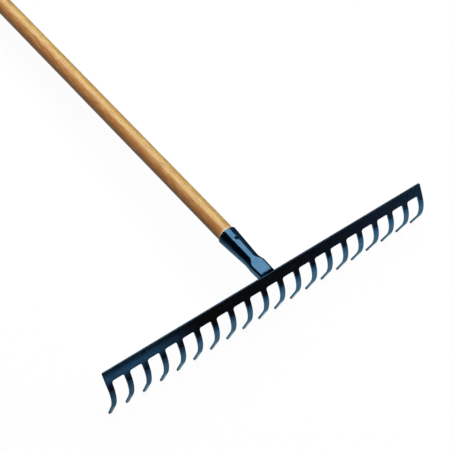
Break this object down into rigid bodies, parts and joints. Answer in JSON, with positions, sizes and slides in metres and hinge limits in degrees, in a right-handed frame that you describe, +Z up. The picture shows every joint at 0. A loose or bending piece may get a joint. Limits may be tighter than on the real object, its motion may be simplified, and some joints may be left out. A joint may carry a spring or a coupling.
{
  "type": "garden rake",
  "caption": "Garden rake: straight steel head with curved tines, a tapered steel socket pressed flat to a neck, and a long round wooden handle.",
  "frame": {"origin": "on the floor that the tool lies on, under the middle of its box", "axes": "+X along the head, +Y towards the far end of the handle, +Z up from the floor"},
  "size_m": [0.618, 1.57, 0.0938],
  "materials": {
    "enamel": "glossy blue-black enamel over steel",
    "handle_wood": "clear varnish over straight-grained honey wood",
    "screw_steel": "dark zinc plated"
  },
  "bodies": {
    "root": {"rake_head": "enamel", "socket": "enamel", "weld_upper": "enamel", "weld_lower": "enamel", "handle": "handle_wood", "fixing_screw": "screw_steel"}
  },
  "joints": []
}
